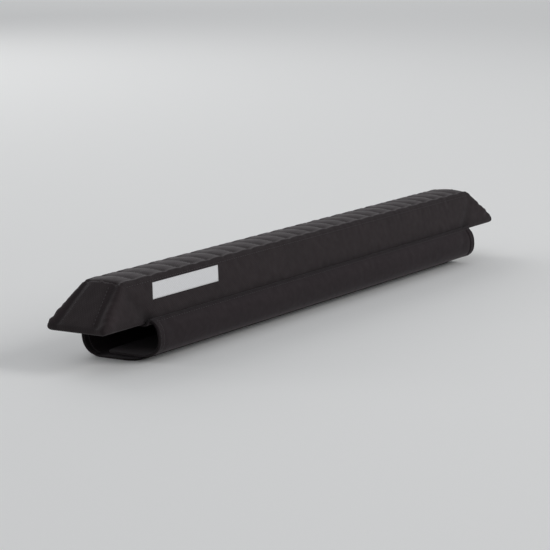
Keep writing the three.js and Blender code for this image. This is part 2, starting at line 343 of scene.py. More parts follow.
class FlapSizes(PropertyGroup):
    """Sizes of the flaps that wrap the bar."""
    setback: length("Setback", "From the pad's tip to the flaps' end edge", 69 * MM)
    seam_margin: length("Seam margin", "Width of the flap's edge under the pad", 8 * MM)
    seam_inset: length("Seam inset", "From the pad's widest line to the flap's seam", 2.5 * MM)
    notch_radius: length("Notch radius", "Radius of the corner between flap and pad", 5 * MM)
    corner_radius: length("Corner radius", "Radius of the flaps' free corners", 12 * MM)
    hem_width: length("Hem width", "Width of the hem at the flaps' end edges", 8 * MM)
    hem_thick: length("Hem thickness", "Thickness that the folded hem adds", 0.7 * MM)
    tuck_rise: length("Tuck height", "From the pad's base to where the flap stands upright", 2.6 * MM)
    fold_width: length("Fold width", "Between the middles of the fold's two layers", 2.35 * MM)
    fold_drop: length("Fold drop", "From the fold's inner foot up to the shoulder", 0.3 * MM)
    fold_pull: length("Fold height", "Length of the handles that round the fold", 1.4 * MM)
    shoulder_pull: length("Shoulder length", "Length of the handle that slopes the shoulder", 6 * MM)
    sag_height: length("Sag height", "Height of the slow waves in the flaps", 0.5 * MM)
    pucker_height: length("Pucker height", "Height of the puckers below the fold", 0.35 * MM)
    pull_depth: length("Tension fold depth", "Depth of the fold that slants from a notch", 0.8 * MM)
    sewn_depth: length("Hem seam depth", "Depth of the dip beside the hem", 0.35 * MM)
    fullness: FloatProperty(name="Fullness", description="How square the wrapped flap is", default=0.7)
    roundness: FloatProperty(name="Roundness", description="How round the flap is at the bar's edge",
                             default=0.62)


class PadColours(PropertyGroup):
    """Colours of the cloths, tapes and thread."""
    cover: colour("Cover", "Woven cloth of the cover", COVER_BLACK)
    flap: colour("Flaps", "Woven cloth of the flaps", FLAP_BLACK)
    panel: colour("Base panel", "Woven cloth of the base panel", PANEL_BLACK)
    loop: colour("Loop strip", "Napped half of the closure", LOOP_BLACK)
    hook: colour("Hook strip", "Moulded half of the closure", HOOK_BLACK)
    thread: colour("Thread", "Sewing thread", THREAD_BLACK)
    foam: colour("Foam", "Closed-cell foam inside the cover", FOAM_GREY)
    printed: colour("Printed bar", "Plain printed bar on the side", PRINT_WHITE)
    floor: colour("Floor", "Studio floor", FLOOR_WHITE)


# Materials

def add_node(tree, kind, inputs=None, **properties):
    """Adds a node, sets its properties, sets or links its inputs, and returns its outputs."""
    node = tree.nodes.new(kind)
    for name, value in properties.items():
        setattr(node, name, value)
    for place, value in (inputs or {}).items():
        if isinstance(value, bpy.types.NodeSocket):
            tree.links.new(value, node.inputs[place])
        else:
            node.inputs[place].default_value = value
    return node.outputs


def new_tree(name):
    """An empty material and its node tree."""
    material = bpy.data.materials.new(name)
    material.use_nodes = True
    material.node_tree.nodes.clear()
    return material, material.node_tree


def wave_scale(spacing):
    """The Wave Texture scale whose bands are the given distance apart."""
    return 2 * pi / (20 * spacing)


def plain_weave(tree, place, spacing, uneven=0.0):
    """The pattern of yarns of one spacing that pass over and under each other."""
    yarn = {"Vector": place, "Scale": wave_scale(2 * spacing),
            "Distortion": uneven, "Detail": 1.0, "Detail Scale": 3.0}
    warp = add_node(tree, "ShaderNodeTexWave", yarn, bands_direction="X")["Fac"]
    weft = add_node(tree, "ShaderNodeTexWave", yarn, bands_direction="Y")["Fac"]
    under = add_node(tree, "ShaderNodeMath", {0: 1.0, 1: weft}, operation="SUBTRACT")[0]
    return add_node(tree, "ShaderNodeMix", {0: warp, 2: under, 3: weft})[0]


def woven_cloth(name, dye, spacing, roughness, sheen, relief, place_from="UV"):
    """
    Plain-woven dyed polyester: warp and weft pass over and under each other, so the light breaks up into
    fine grains. Yarn is uneven and dye is a little cloudy. A stored tone makes ridges that bulge out paler,
    where they are rubbed, and paints shade into creases, seams and lower edges, and a highlight on the
    flaps' shoulders.
    """
    material, tree = new_tree(name)
    place = add_node(tree, "ShaderNodeTexCoord")[place_from]
    weave = plain_weave(tree, place, spacing, uneven=0.5)
    slub = add_node(tree, "ShaderNodeTexNoise",
                    {"Vector": place, "Scale": 1 / (6 * spacing), "Detail": 3.0})["Fac"]
    cloud = add_node(tree, "ShaderNodeTexNoise",
                     {"Vector": place, "Scale": 1 / (40 * MM), "Detail": 4.0})["Fac"]
    # The stored tone: paler on rubbed ridges, painted shade in creases, seams and lower edges, and a painted
    # highlight on the flaps' shoulders
    rub_and_painted_light = add_node(tree, "ShaderNodeAttribute", attribute_name="rub_and_painted_light")["Fac"]
    grain = add_node(tree, "ShaderNodeMath", {0: slub, 1: 0.7, 2: weave}, operation="MULTIPLY_ADD")[0]
    tone = add_node(tree, "ShaderNodeMapRange", {
        "Value": grain, "From Min": 0.1, "From Max": 1.5, "To Min": 0.76, "To Max": 1.2})[0]
    shade = add_node(tree, "ShaderNodeMapRange", {
        "Value": cloud, "From Min": 0.3, "From Max": 0.7, "To Min": 0.94, "To Max": 1.06})[0]
    tone = add_node(tree, "ShaderNodeMath", {0: tone, 1: shade}, operation="MULTIPLY")[0]
    tone = add_node(tree, "ShaderNodeMath", {0: rub_and_painted_light, 1: 0.45, 2: tone}, operation="MULTIPLY_ADD")[0]
    dyed = add_node(tree, "ShaderNodeVectorMath", {0: dye, 1: tone}, operation="MULTIPLY")[0]
    rough = add_node(tree, "ShaderNodeMapRange", {
        "Value": slub, "From Min": 0.3, "From Max": 0.7,
        "To Min": roughness + 0.05, "To Max": roughness - 0.05})[0]
    bump = add_node(tree, "ShaderNodeBump", {"Height": grain, "Strength": 1.0, "Distance": relief})[0]
    shader = add_node(tree, "ShaderNodeBsdfPrincipled", {
        "Base Color": dyed, "Roughness": rough, "Normal": bump, "Specular IOR Level": 0.25,
        "Sheen Weight": sheen, "Sheen Roughness": 0.4, "Sheen Tint": (0.95, 0.88, 0.92, 1.0)})
    add_node(tree, "ShaderNodeOutputMaterial", {"Surface": shader["BSDF"]})
    return material


def cover_cloth(colours):
    """600-denier polyester: a dull black with fine grains and a soft, faintly purple sheen."""
    return woven_cloth("woven_polyester_cover", colours.cover, COVER_YARN, 0.76, 0.09, 0.10 * MM)


def flap_cloth(colours):
    """The same yarn in a flatter, tighter weave, with no quilting behind it."""
    return woven_cloth("woven_polyester_flap", colours.flap, FLAP_YARN, 0.82, 0.10, 0.09 * MM)


def panel_cloth(colours):
    """Lining cloth, duller because nothing rubs it. The panel lies level, so X and Y place its yarns."""
    return woven_cloth("lining_polyester", colours.panel, LINING_YARN, 0.88, 0.08, 0.08 * MM,
                       place_from="Object")


def loop_pile(colours):
    """Brushed nylon loops: a matte nap of curls about 1 mm long, with fuzz that catches the light."""
    material, tree = new_tree("napped_nylon_loop")
    place = add_node(tree, "ShaderNodeTexCoord")["Object"]
    curl = add_node(tree, "ShaderNodeTexNoise", {
        "Vector": place, "Scale": 1 / (1.1 * MM), "Detail": 5.0, "Distortion": 1.2})["Fac"]
    tone = add_node(tree, "ShaderNodeMapRange", {
        "Value": curl, "From Min": 0.3, "From Max": 0.7, "To Min": 0.6, "To Max": 1.5})[0]
    dyed = add_node(tree, "ShaderNodeVectorMath", {0: colours.loop, 1: tone}, operation="MULTIPLY")[0]
    bump = add_node(tree, "ShaderNodeBump", {"Height": curl, "Strength": 1.0, "Distance": 0.5 * MM})[0]
    shader = add_node(tree, "ShaderNodeBsdfPrincipled", {
        "Base Color": dyed, "Normal": bump, "Roughness": 0.95, "Sheen Weight": 0.5})
    add_node(tree, "ShaderNodeOutputMaterial", {"Surface": shader["BSDF"]})
    return material


def hook_tape(colours):
    """Moulded nylon hooks in rows 1.4 mm apart: small hard points with a dull plastic gloss."""
    material, tree = new_tree("moulded_nylon_hook")
    place = add_node(tree, "ShaderNodeTexCoord")["Object"]
    row = {"Vector": place, "Scale": wave_scale(1.4 * MM)}
    along = add_node(tree, "ShaderNodeTexWave", row, bands_direction="X")["Fac"]
    across = add_node(tree, "ShaderNodeTexWave", row, bands_direction="Y")["Fac"]
    hooks = add_node(tree, "ShaderNodeMath", {0: along, 1: across}, operation="MULTIPLY")[0]
    tone = add_node(tree, "ShaderNodeMapRange", {
        "Value": hooks, "From Min": 0.0, "From Max": 1.0, "To Min": 0.7, "To Max": 1.6})[0]
    dyed = add_node(tree, "ShaderNodeVectorMath", {0: colours.hook, 1: tone}, operation="MULTIPLY")[0]
    bump = add_node(tree, "ShaderNodeBump", {"Height": hooks, "Strength": 1.0, "Distance": 0.7 * MM})[0]
    shader = add_node(tree, "ShaderNodeBsdfPrincipled", {
        "Base Color": dyed, "Normal": bump, "Roughness": 0.48})
    add_node(tree, "ShaderNodeOutputMaterial", {"Surface": shader["BSDF"]})
    return material


def spun_thread(colours):
    """Twisted polyester thread: plies 0.4 mm apart wind round it and give it a fine, low gloss."""
    material, tree = new_tree("spun_polyester_thread")
    place = add_node(tree, "ShaderNodeTexCoord")["Object"]
    twist = {"Vector": place, "Scale": wave_scale(0.4 * MM), "Distortion": 0.6}
    ply = add_node(tree, "ShaderNodeTexWave", twist, bands_direction="DIAGONAL")["Fac"]
    tone = add_node(tree, "ShaderNodeMapRange", {
        "Value": ply, "From Min": 0.0, "From Max": 1.0, "To Min": 0.8, "To Max": 1.15})[0]
    dyed = add_node(tree, "ShaderNodeVectorMath", {0: colours.thread, 1: tone}, operation="MULTIPLY")[0]
    shader = add_node(tree, "ShaderNodeBsdfPrincipled", {"Base Color": dyed, "Roughness": 0.6})
    add_node(tree, "ShaderNodeOutputMaterial", {"Surface": shader["BSDF"]})
    return material


def cut_foam(colours):
    """Closed-cell polyethylene foam: a chalky grey skin with fine cut cells 1.6 mm across."""
    material, tree = new_tree("closed_cell_foam")
    place = add_node(tree, "ShaderNodeTexCoord")["Object"]
    cells = add_node(tree, "ShaderNodeTexVoronoi", {"Vector": place, "Scale": 1 / (1.6 * MM)})["Distance"]
    tone = add_node(tree, "ShaderNodeMapRange", {
        "Value": cells, "From Min": 0.0, "From Max": 1.0, "To Min": 0.85, "To Max": 1.1})[0]
    dyed = add_node(tree, "ShaderNodeVectorMath", {0: colours.foam, 1: tone}, operation="MULTIPLY")[0]
    bump = add_node(tree, "ShaderNodeBump", {"Height": cells, "Strength": 0.8, "Distance": 0.2 * MM})[0]
    shader = add_node(tree, "ShaderNodeBsdfPrincipled", {
        "Base Color": dyed, "Normal": bump, "Roughness": 0.9})
    add_node(tree, "ShaderNodeOutputMaterial", {"Surface": shader["BSDF"]})
    return material


def screen_print(colours):
    """Screen-printed ink: an even, slightly satin white film that lets the cover's weave show through."""
    material, tree = new_tree("screen_print_ink")
    place = add_node(tree, "ShaderNodeTexCoord")["UV"]
    weave = plain_weave(tree, place, COVER_YARN)
    rubbed = add_node(tree, "ShaderNodeTexNoise",
                      {"Vector": place, "Scale": 1 / (4 * MM), "Detail": 4.0})["Fac"]
    film = add_node(tree, "ShaderNodeMath", {0: rubbed, 1: 0.6, 2: weave}, operation="MULTIPLY_ADD")[0]
    tone = add_node(tree, "ShaderNodeMapRange", {
        "Value": film, "From Min": 0.2, "From Max": 1.4, "To Min": 0.84, "To Max": 1.02})[0]
    inked = add_node(tree, "ShaderNodeVectorMath", {0: colours.printed, 1: tone}, operation="MULTIPLY")[0]
    bump = add_node(tree, "ShaderNodeBump", {"Height": weave, "Strength": 0.8, "Distance": 0.06 * MM})[0]
    shader = add_node(tree, "ShaderNodeBsdfPrincipled", {
        "Base Color": inked, "Normal": bump, "Roughness": 0.55})
    add_node(tree, "ShaderNodeOutputMaterial", {"Surface": shader["BSDF"]})
    return material


def studio_floor(colours):
    """Matte painted board with a faint roller texture 8 mm across, pale enough to keep the soft shadow."""
    material, tree = new_tree("painted_floor")
    place = add_node(tree, "ShaderNodeTexCoord")["Object"]
    roller = add_node(tree, "ShaderNodeTexNoise",
                      {"Vector": place, "Scale": 1 / (8 * MM), "Detail": 2.0})["Fac"]
    bump = add_node(tree, "ShaderNodeBump", {"Height": roller, "Strength": 0.1, "Distance": 0.1 * MM})[0]
    shader = add_node(tree, "ShaderNodeBsdfPrincipled", {
        "Base Color": (*colours.floor, 1.0), "Normal": bump, "Roughness": 0.9,
        "Specular IOR Level": 0.2})
    add_node(tree, "ShaderNodeOutputMaterial", {"Surface": shader["BSDF"]})
    return material


# Shared steps for new pieces

def finish_piece(name, bm, material, replaced=()):
    """Turns a bmesh into a smooth-shaded piece that rides on the frame."""
    mesh = bpy.data.meshes.new(name)
    bm.to_mesh(mesh)
    bm.free()
    mesh.materials.append(material)
    mesh.shade_smooth()
    piece = bpy.data.objects.new(name, mesh)
    bpy.context.collection.objects.link(piece)
    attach(piece, ROOT)
    if replaced:
        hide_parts(*replaced)
    return piece


def dress_node(node, material):
    """Gives a CAD node, whose shape is right, its woven or moulded material."""
    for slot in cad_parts[node].material_slots:
        slot.material = material


def ramp(value, start, end):
    """0 before start, 1 after end, and a smooth step between them."""
    t = min(max((value - start) / (end - start), 0.0), 1.0)
    return t * t * (3 - 2 * t)


def bell(value, width):
    """1 at zero, falling smoothly with the distance."""
    return exp(-(value / width) ** 2)


def spread(low, high, step):
    """Evenly spaced places between two limits, neither of them included."""
    count = max(ceil((high - low) / step), 1)
    return [low + (high - low) * i / count for i in range(1, count)]


def slice_evenly(bm, axis, places):
    """Cuts every face at each of the places along an axis."""
    normal = Vector([1.0 if i == axis else 0.0 for i in range(3)])
    for place in places:
        geometry = bm.verts[:] + bm.edges[:] + bm.faces[:]
        bmesh.ops.bisect_plane(bm, geom=geometry, dist=CUT_SNAP, plane_co=normal * place, plane_no=normal)


def run_lengths(points):
    """How far along a line each of its points lies."""
    run = [0.0]
    for a, b in zip(points, points[1:]):
        run.append(run[-1] + (b - a).length)
    return run


def locate(run, distance):
    """The segment of a line that a distance falls in, and how far along that segment, from 0 to 1."""
    k = min(max(bisect_left(run, distance) - 1, 0), len(run) - 2)
    return k, (distance - run[k]) / max(run[k + 1] - run[k], TINY)


def stitch_row(bm, row):
    """Lays short raised stitches of thread along a row of surface points with their outward directions."""
    points, outwards = [p for p, out in row], [out for p, out in row]
    run = run_lengths(points)
    count = floor(run[-1] / STITCH_STEP)
    spare = (run[-1] - count * STITCH_STEP) / 2
    size = Matrix.Diagonal((STITCH_LENGTH / 2, THREAD_RADIUS, THREAD_HEIGHT, 1))
    for i in range(count):
        k, t = locate(run, spare + (i + 0.5) * STITCH_STEP)
        along = (points[k + 1] - points[k]).normalized()
        out = outwards[k].lerp(outwards[k + 1], t).normalized()
        side = out.cross(along).normalized()
        turn = Matrix((along, side, along.cross(side))).transposed().to_4x4()
        place = Matrix.Translation(points[k].lerp(points[k + 1], t) + out * THREAD_LIFT)
        bmesh.ops.create_icosphere(bm, subdivisions=1, radius=1.0, matrix=place @ turn @ size)


# The padded cover

def add_ball(bm, centre, radius):
    """One rounded corner of the cover's hull."""
    bmesh.ops.create_uvsphere(bm, u_segments=BALL_SEGMENTS, v_segments=BALL_SEGMENTS // 2, radius=radius,
                              matrix=Matrix.Translation(centre))


def hip_ends(s, end, side):
    """The middles of the lower and the upper ball that a hip runs between."""
    foot = Vector((end * (TIP - s.lower_radius), side * (SIDE - s.lower_radius), BASE_Z + s.lower_radius))
    head = Vector((end * (TIP - s.end_run), side * (s.top_width / 2 - s.upper_radius),
                   CREST_Z - s.upper_radius - s.crown))
    return foot, head


def ridge_line(s):
    """How far from the middle each upper seam runs."""
    return s.top_width / 2 - s.upper_radius * RIDGE_SHARE


def pad_hull(bm, s, inset=0.0):
    """The foam-filled form: a hull of balls at its corners and across its crowned top."""
    for end in (-1, 1):
        for side in (-1, 1):
            add_ball(bm, hip_ends(s, end, side)[0], s.lower_radius - inset)
        head = hip_ends(s, end, 1)[1]
        for i in range(CROWN_STEPS + 1):
            across = 2 * i / CROWN_STEPS - 1
            place = (head.x, across * head.y, head.z + s.crown * (1 - across * across))
            add_ball(bm, place, s.upper_radius - inset)
    bmesh.ops.delete(bm, geom=bm.edges[:], context="EDGES_FACES")
    hull = bmesh.ops.convex_hull(bm, input=bm.verts[:])
    spare = set(hull["geom_interior"]) | set(hull["geom_unused"])
    bmesh.ops.delete(bm, geom=[g for g in spare if isinstance(g, bmesh.types.BMVert)], context="VERTS")
    bmesh.ops.recalc_face_normals(bm, faces=bm.faces[:])
    bmesh.ops.dissolve_limit(bm, angle_limit=FLAT_ANGLE, verts=bm.verts[:], edges=bm.edges[:])


def rib_lines(s):
    """Where the sewn channels cross the top. The outermost two lie just past the ends of its level part."""
    half = TIP - s.end_run + END_CHANNEL
    ribs = round(2 * half / s.rib_pitch)
    return [-half + 2 * half * i / ribs for i in range(ribs + 1)]


def cut_cells(bm, s, lines):
    """Divides the hull into small cells. A cut lies on every channel, and slivers are closed."""
    along = spread(-TIP, lines[0], s.mesh_step)
    for a, b in zip(lines, lines[1:]):
        along += [a] + spread(a, b, s.mesh_step)
    along += [lines[-1]] + spread(lines[-1], TIP, s.mesh_step)
    slice_evenly(bm, 0, along)
    slice_evenly(bm, 1, spread(-SIDE, SIDE, s.mesh_step))
    slice_evenly(bm, 2, spread(BASE_Z, CREST_Z, s.mesh_step))
    bmesh.ops.dissolve_degenerate(bm, edges=bm.edges[:], dist=SLIVER_SHARE * s.mesh_step)


def box_unwrap(bm):
    """Lays the weave flat on each group of faces, in metres, so that its threads keep their real size."""
    uv = bm.loops.layers.uv.new("weave")
    for face in bm.faces:
        n = face.normal
        for loop in face.loops:
            p = loop.vert.co
            if abs(n.x) > END_FACING:
                loop[uv].uv = (p.y, hypot(p.x, p.z))
            elif abs(n.z) < TOP_FACING:
                loop[uv].uv = (p.x, p.z)
            else:
                loop[uv].uv = (p.x, p.y)


def channel_fade(s, y):
    """1 in the middle of the top and 0 at its rounded edges, where the channels end."""
    return ramp(ridge_line(s) - abs(y), 0.0, CHANNEL_FADE)


def press_channels(bm, s, lines):
    """Lowers the top along the sewn channels, and the crests a little, ready to be filled."""
    pitch = lines[1] - lines[0]
    for v in bm.verts:
        x, y, z = v.co
        ribbed = lines[0] - CHANNEL_MARGIN < x < lines[-1] + CHANNEL_MARGIN
        if z < CREST_Z - s.crown - s.upper_radius or not ribbed:
            continue
        t = ((x - lines[0]) / pitch) % 1.0
        channel = abs(2 * t - 1) ** CHANNEL_SHARPNESS
        v.co.z -= channel_fade(s, y) * (s.rib_depth * channel + FILL_SPARE * (1 - channel))


def sewn_points(mesh, s, lines):
    """The vertices that the seams, channels and firm edges hold still while the cover fills."""
    pitch = lines[1] - lines[0]
    held = []
    for v in mesh.vertices:
        x, y, z = v.co
        t = ((x - lines[0]) / pitch) % 1.0
        in_channel = min(t, 1 - t) * pitch < HELD_CHANNEL and z > CREST_Z - s.upper_radius * HELD_TOP_SHARE
        high = z > CREST_Z - s.upper_radius * HELD_EDGE_SHARE
        on_edge = abs(y) > s.top_width / 2 - s.upper_radius and high
        past_ribs = abs(x) > lines[-1]
        if in_channel or on_edge or past_ribs or z < BASE_Z + s.lower_radius * HELD_BASE_SHARE:
            held.append(v.index)
    return held


def fill_cover(piece, held):
    """Blows the cover up between its seams as cloth, and keeps small how far each point may move."""
    scene = bpy.context.scene
    sewn = piece.vertex_groups.new(name="sewn")
    sewn.add(held, 1.0, "REPLACE")
    before = [v.co.copy() for v in piece.data.vertices]
    cloth = piece.modifiers.new("fill", "CLOTH")
    for name, value in FILL_CLOTH.items():
        setattr(cloth.settings, name, value)
    cloth.settings.vertex_group_mass = sewn.name
    cloth.settings.effector_weights.gravity = 0
    cloth.point_cache.frame_start = 1
    cloth.point_cache.frame_end = FILL_FRAMES
    for number in range(1, FILL_FRAMES + 1):
        scene.frame_set(number)
    filled = piece.evaluated_get(bpy.context.evaluated_depsgraph_get()).data
    after = [v.co.copy() for v in filled.vertices]
    piece.modifiers.remove(cloth)
    piece.vertex_groups.remove(sewn)
    scene.frame_set(1)
    for v, old, new in zip(piece.data.vertices, before, after):
        move = new - old
        if move.length > FILL_LIMIT:
            move *= FILL_LIMIT / move.length
        v.co = old + move


def along_segment(p, a, b):
    """How far along a segment its nearest point to p lies, from 0 to 1, and the distance to it."""
    t = min(max((p - a).dot(b - a) / (b - a).length_squared, 0.0), 1.0)
    return t, (p - a.lerp(b, t)).length


def from_hip(s, p, end, side):
    """How far up a hip a point is, from 0 to 1, and how far past it: towards the side is positive."""
    foot, head = hip_ends(s, end, side)
    axis = head - foot
    t = (p - foot).dot(axis) / axis.length_squared
    end_out = Vector((axis.z, 0, -axis.x)) * end
    side_out = Vector((0, axis.z, -axis.y)) * side
    across = (side_out.normalized() - end_out.normalized()).normalized()
    return t, (p - foot - axis * t).dot(across)


def end_folds(s, folds, p, end, side):
    """How far the seam, the loose roll and the tension fold at one corner move the cover outwards."""
    t, past = from_hip(s, p, end, side)
    slack = 1 - ROLL_TAPER * ramp(t, HIP_START, HIP_END)
    live = ramp(t, -HIP_START, HIP_START) * (1 - ramp(t, HIP_END - HIP_START, HIP_END + HIP_START))
    seam = past + folds.seam_foot + (folds.seam_head - folds.seam_foot) * t
    move = -folds.seam_depth * bell(seam, folds.seam_width) * live * (1 - SEAM_TAPER * t)
    up_roll = t * CRINKLES - past / CRINKLE_SLANT
    crinkle = noise.noise(Vector((up_roll, end * ROLL_SLICE + side, past / CRINKLE_WIDTH)))
    roll = folds.roll_height + folds.roll_crinkle * crinkle
    move += roll * slack * bell(past - folds.roll_place, folds.roll_width) * live
    notch = Vector((end * (TIP - NOTCH_FROM_TIP), side * SIDE, BASE_Z + NOTCH_ABOVE_BASE))
    pull_head = Vector((end * (TIP - PULL_FROM_TIP), side * (s.top_width / 2 + PULL_PAST_TOP),
                        CREST_Z - PULL_BELOW_CREST))
    t, off = along_segment(p, notch, pull_head)
    move -= folds.pull_depth * bell(off, folds.pull_width) * (1 - PULL_TAPER * t)
    move -= folds.pocket_depth * bell((p - notch).length, folds.pull_width)
    return max(move, -folds.deepest)


def ridge_folds(s, folds, p):
    """How far the gathers and the seam along an upper edge move the cover outwards."""
    past = abs(p.y) - ridge_line(s)
    gather = noise.noise(Vector((p.x / GATHER_SIZE[0], p.y / GATHER_SIZE[1], GATHER_SLICE)))
    gathers = folds.gather_height * gather * bell(past, GATHER_REACH)
    return gathers - folds.ridge_depth * bell(past, folds.ridge_width)


def side_folds(folds, p, side):
    """How far the slow waves and the puckers above the base move the cover outwards."""
    sag = noise.noise(Vector((p.x / SAG_SIZE[0], p.y / SAG_SIZE[1], p.z / SAG_SIZE[2])))
    pucker = noise.noise(Vector((p.x / PUCKER_SIZE[0], side * PUCKER_SLICE, p.z / PUCKER_SIZE[1])))
    near_base = bell(p.z - BASE_Z - PUCKER_ABOVE_BASE, PUCKER_REACH)
    return folds.sag_height * sag + folds.pucker_height * pucker * near_base


def low_shade(p):
    """Painted shade: how much darker the cover is painted where it turns under and in the hollow above the
    flap.
    """
    above = p.z - BASE_Z
    hollow = HOLLOW_SHARE * bell(above - HOLLOW_ABOVE_BASE, HOLLOW_REACH)
    return LOW_SHADE * (bell(above, TURN_REACH) + hollow)


def fold_cover(bm, s, folds):
    """Adds the seams, rolls and puckers to the cover, and stores its tone: paler where the cloth bulges out
    and is rubbed, and painted shade in the seams and folds, where it turns under and above the flap.
    """
    bm.normal_update()
    rub_and_painted_light = bm.verts.layers.float.new("rub_and_painted_light")
    moves = []
    for v in bm.verts:
        p, n = v.co, v.normal
        end, side = copysign(1, p.x), copysign(1, p.y)
        move = 0.0
        if abs(p.x) > TIP - FOLDED_END and n.z > -UNDER_FACING:
            move += end_folds(s, folds, p, end, side)
        if p.z > CREST_Z - GATHERED_BAND and abs(p.x) < TIP - s.end_run + GATHER_PAST_TOP:
            move += ridge_folds(s, folds, p)
        if abs(n.z) < TOP_FACING and n.z > -UNDER_FACING:
            move += side_folds(folds, p, side)
        # Painted shade where the cloth sinks into seams and folds and near the base; paler where it bulges
        # out and is rubbed
        v[rub_and_painted_light] = min(max(move / folds.deepest - low_shade(p), -1.0), 1.0)
        moves.append(n * move)
    for v, move in zip(bm.verts, moves):
        v.co += move


def clear_base(bm):
    """Lifts the middle of the underside, where the base panel lies in the cover's opening."""
    room = PANEL_HIGH.z - PANEL_LOW.z + LAYER_GAP
    half_x, half_y = PANEL_HIGH.x + PANEL_MARGIN, PANEL_HIGH.y + PANEL_MARGIN
    inner = []
    for face in bm.faces:
        middle = face.calc_center_median()
        if face.normal.z < -BASE_FACING and abs(middle.x) < half_x and abs(middle.y) < half_y:
            inner.append(face)
    made = bmesh.ops.extrude_face_region(bm, geom=inner)
    bmesh.ops.delete(bm, geom=inner, context="FACES")
    verts = [g for g in made["geom"] if isinstance(g, bmesh.types.BMVert)]
    bmesh.ops.translate(bm, verts=verts, vec=(0, 0, room))
    bmesh.ops.recalc_face_normals(bm, faces=bm.faces[:])


def drop(tree, point, inwards):
    """Where a point lands on the cover along a direction, and the outward direction there."""
    return tree.ray_cast(point - inwards * DROP_START, inwards, 2 * DROP_START)[:2]


def surface_row(tree, points, inwards):
    """Drops a row of points on to the cover. A point that misses it is left out."""
    row = [drop(tree, point, inwards) for point in points]
    return [(hit, normal) for hit, normal in row if hit]


def cover_stitches(tree, s, lines):
    """The thread in the channels, beside the upper seams and beside the corner seams."""
    bm = bmesh.new()
    half = ridge_line(s)
    for x in lines:
        places = spread(-half + CHANNEL_ROW_INSET, half - CHANNEL_ROW_INSET, CHANNEL_ROW_STEP)
        stitch_row(bm, surface_row(tree, [Vector((x, y, CREST_Z)) for y in places], DOWN))
    for side in (-1, 1):
        inwards = Vector((0, -side, -RIDGE_ROW_TILT)).normalized()
        y, z = side * (half + RIDGE_ROW_OUT), CREST_Z - RIDGE_ROW_DROP
        points = [Vector((x, y, z)) for x in spread(lines[0], lines[-1], LONG_ROW_STEP)]
        stitch_row(bm, surface_row(tree, points, inwards))
        for end in (-1, 1):
            foot, head = hip_ends(s, end, side)
            points = []
            for t in spread(0.0, HIP_ROW_TOP, HIP_ROW_STEP):
                inset = HIP_ROW_FOOT + (HIP_ROW_HEAD - HIP_ROW_FOOT) * t
                points.append(foot.lerp(head, t) - Vector((0, side * inset, 0)))
            inwards = Vector((-end * END_SLOPE[0], 0, -END_SLOPE[1]))
            stitch_row(bm, surface_row(tree, points, inwards))
    return bm


def printed_bar(tree):
    """A plain printed bar with slanted ends, laid on the leading side of the cover."""
    bm = bmesh.new()
    size = Matrix.Diagonal((PRINT_HALF_LENGTH, PRINT_HALF_HEIGHT, 1, 1))
    bmesh.ops.create_grid(bm, x_segments=1, y_segments=1, size=1.0, matrix=size)
    slice_evenly(bm, 0, spread(-PRINT_HALF_LENGTH, PRINT_HALF_LENGTH, PRINT_CELL))
    slice_evenly(bm, 1, spread(-PRINT_HALF_HEIGHT, PRINT_HALF_HEIGHT, PRINT_CELL))
    uv = bm.loops.layers.uv.new("weave")
    for face in bm.faces:
        for loop in face.loops:
            loop[uv].uv = loop.vert.co.xy
    inwards = Vector((0, -1, -PRINT_TILT)).normalized()
    middle = Vector((TIP - PRINT_FROM_TIP, SIDE, (BASE_Z + CREST_Z) / 2 + PRINT_ABOVE_MIDDLE))
    for v in bm.verts:
        place = middle + Vector((v.co.x - v.co.y * PRINT_SLANT, 0, v.co.y))
        hit, normal = drop(tree, place, inwards)
        v.co = hit + normal * PRINT_LIFT
    bmesh.ops.recalc_face_normals(bm, faces=bm.faces[:])
    if bm.faces[:][0].normal.y < 0:
        bmesh.ops.reverse_faces(bm, faces=bm.faces[:])
    bmesh.ops.solidify(bm, geom=bm.faces[:], thickness=PRINT_THICK)
    return bm


class PAD_OT_cover(Operator):
    """Make the foam block and the padded cover with its ribbed top, its stitches and its printed bar"""
    bl_idname = "pad.cover"
    bl_label = "Padded cover"

    def execute(self, context):
        s, folds, colours = context.scene.pad_sizes, context.scene.fold_sizes, context.scene.pad_colours
        lines = rib_lines(s)
        bm = bmesh.new()
        pad_hull(bm, s)
        cut_cells(bm, s, lines)
        press_channels(bm, s, lines)
        box_unwrap(bm)
        cover = finish_piece("padded_cover", bm, cover_cloth(colours), ["cover"])
        fill_cover(cover, sewn_points(cover.data, s, lines))
        bm = bmesh.new()
        bm.from_mesh(cover.data)
        fold_cover(bm, s, folds)
        clear_base(bm)
        bm.to_mesh(cover.data)
        tree = BVHTree.FromBMesh(bm)
        bm.free()
        bm = bmesh.new()
        pad_hull(bm, s, s.cover_depth)
        finish_piece("foam_block", bm, cut_foam(colours), ["foam_core"])
        finish_piece("cover_stitches", cover_stitches(tree, s, lines), spun_thread(colours))
        finish_piece("printed_bar", printed_bar(tree), screen_print(colours))
        return {"FINISHED"}


# The flaps

